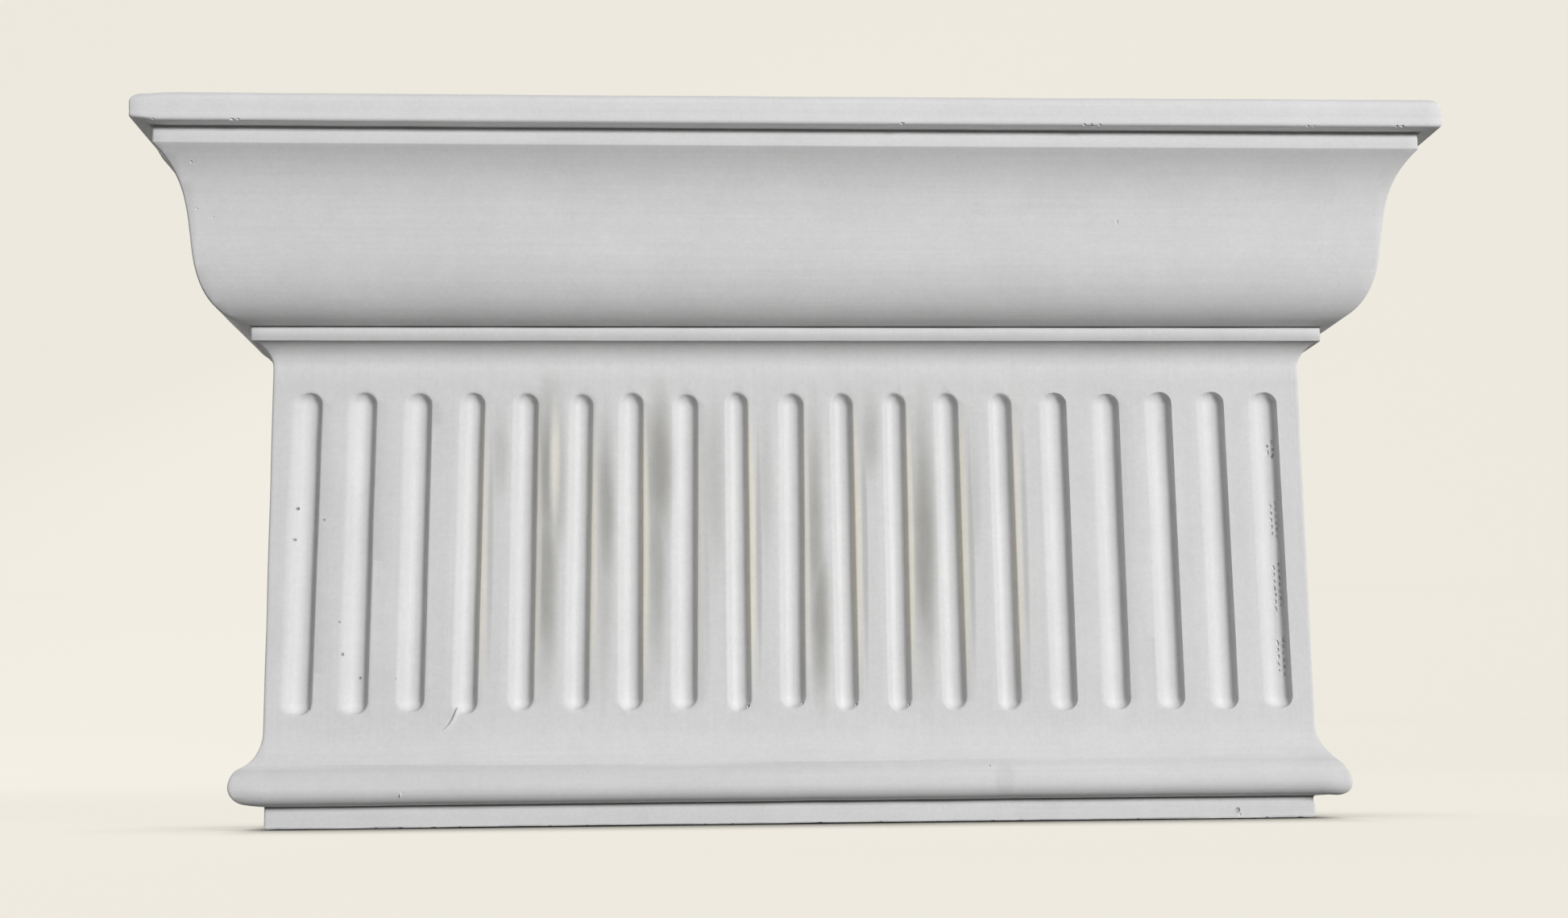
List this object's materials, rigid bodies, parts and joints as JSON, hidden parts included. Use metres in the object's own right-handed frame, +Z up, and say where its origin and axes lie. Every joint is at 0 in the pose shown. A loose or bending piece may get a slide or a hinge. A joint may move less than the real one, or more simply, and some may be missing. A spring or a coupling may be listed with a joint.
{
  "type": "pilaster capital",
  "caption": "Cast plaster pilaster capital: moulded abacus and bell over a short fluted neck with a torus foot, returned at both sides to a flat back.",
  "frame": {"origin": "on the underside, below the middle of the whole block in width and depth", "axes": "+X to the right along the front, +Y from the front to the wall, +Z up"},
  "size_m": [0.3692, 0.0846, 0.2029],
  "materials": {
    "plaster": "matt off-white cast plaster, finely scraped along the mouldings"
  },
  "bodies": {
    "root": {"pilaster_capital": "plaster"}
  },
  "joints": []
}
